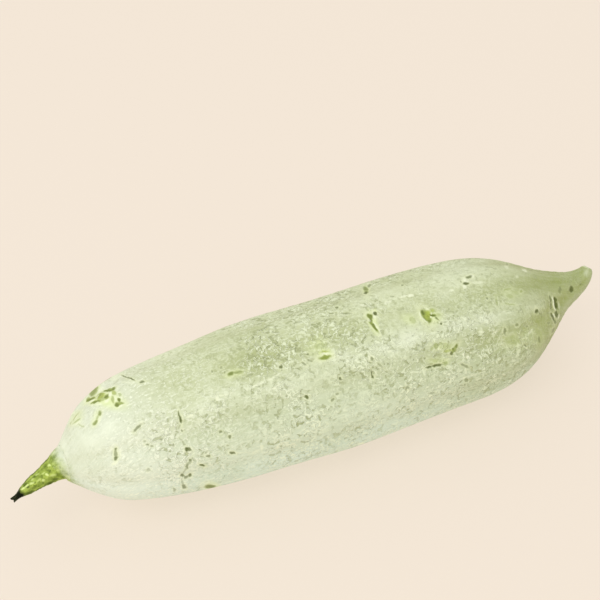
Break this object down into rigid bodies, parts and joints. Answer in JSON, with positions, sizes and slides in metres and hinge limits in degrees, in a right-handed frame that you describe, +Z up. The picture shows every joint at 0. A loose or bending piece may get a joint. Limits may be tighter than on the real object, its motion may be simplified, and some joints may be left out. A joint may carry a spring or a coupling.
{
  "type": "snake gourd",
  "caption": "Whole short snake gourd lying on its side: pale green ribbed fruit with a hooked blossom end and a tapered green stalk dried dark at its end.",
  "frame": {"origin": "on the surface that the gourd lies on, under the middle of its box", "axes": "+X along the gourd from its stalk to its blossom end, +Z up"},
  "size_m": [0.2648, 0.0631, 0.0616],
  "materials": {
    "skin": null,
    "stalk": null
  },
  "bodies": {
    "root": {"fruit": "skin", "stalk": "stalk"}
  },
  "joints": []
}
